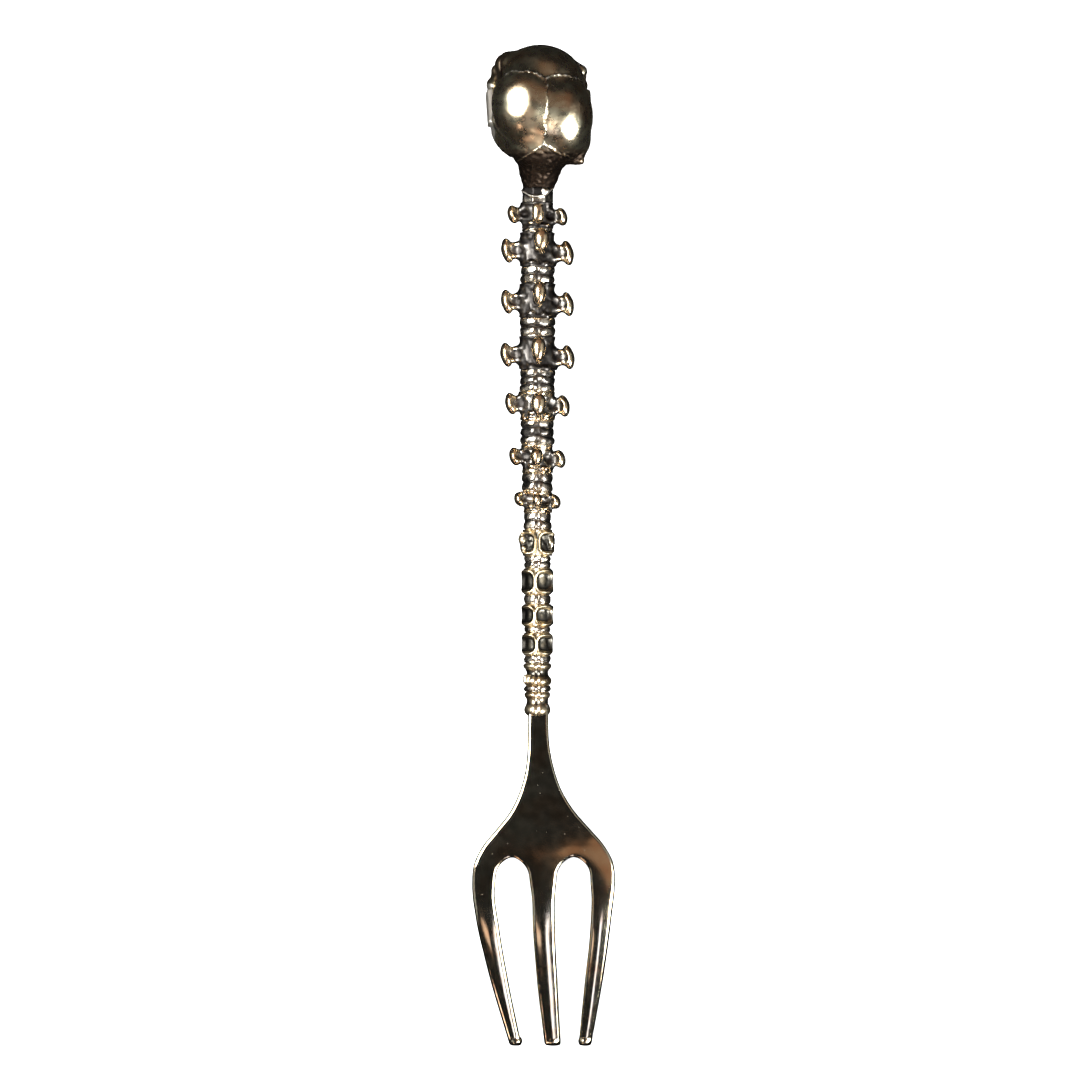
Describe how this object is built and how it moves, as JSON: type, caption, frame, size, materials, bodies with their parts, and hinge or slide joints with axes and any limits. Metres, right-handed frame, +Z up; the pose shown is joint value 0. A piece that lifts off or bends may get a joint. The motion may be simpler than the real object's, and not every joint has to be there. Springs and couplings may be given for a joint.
{
  "type": "bar fork",
  "caption": "Three-tined bar fork with a polished head, a handle of stacked bronze vertebrae and discs on a hidden tang, and a skull finial.",
  "frame": {"origin": "middle of the whole fork's footprint, on the table it lies on", "axes": "+Y runs from the tine tips to the crown of the skull, +Z up out of the table and out of the fork's back, +X across"},
  "size_m": [0.0236, 0.165, 0.0235],
  "materials": {
    "polished_bronze": "mirror polished, brushed lightly on the palm",
    "bone_bronze": "cast, dark patina in the hollows, polished on the tips",
    "patina_bronze": "cast, dark patina with rubbed rims",
    "skull_bronze": "cast and polished, patina in the sutures and sockets",
    "pin_brass": "cut wire, lightly tarnished"
  },
  "bodies": {
    "root": {"fork_head": "polished_bronze", "atlas_collar": "patina_bronze", "cranium": "skull_bronze", "mandible": "skull_bronze", "jaw_pins": "pin_brass", "vertebra_01": "bone_bronze", "vertebra_02": "bone_bronze", "vertebra_03": "bone_bronze", "vertebra_04": "bone_bronze", "vertebra_05": "bone_bronze", "vertebra_06": "bone_bronze", "vertebra_07": "bone_bronze", "vertebra_08": "bone_bronze", "vertebra_09": "bone_bronze", "vertebra_10": "bone_bronze", "vertebra_11": "bone_bronze", "vertebra_12": "bone_bronze", "vertebra_13": "bone_bronze", "disc_01": "patina_bronze", "disc_02": "patina_bronze", "disc_03": "patina_bronze", "disc_04": "patina_bronze", "disc_05": "patina_bronze", "disc_06": "patina_bronze", "disc_07": "patina_bronze", "disc_08": "patina_bronze", "disc_09": "patina_bronze", "disc_10": "patina_bronze", "disc_11": "patina_bronze", "disc_12": "patina_bronze"}
  },
  "joints": []
}
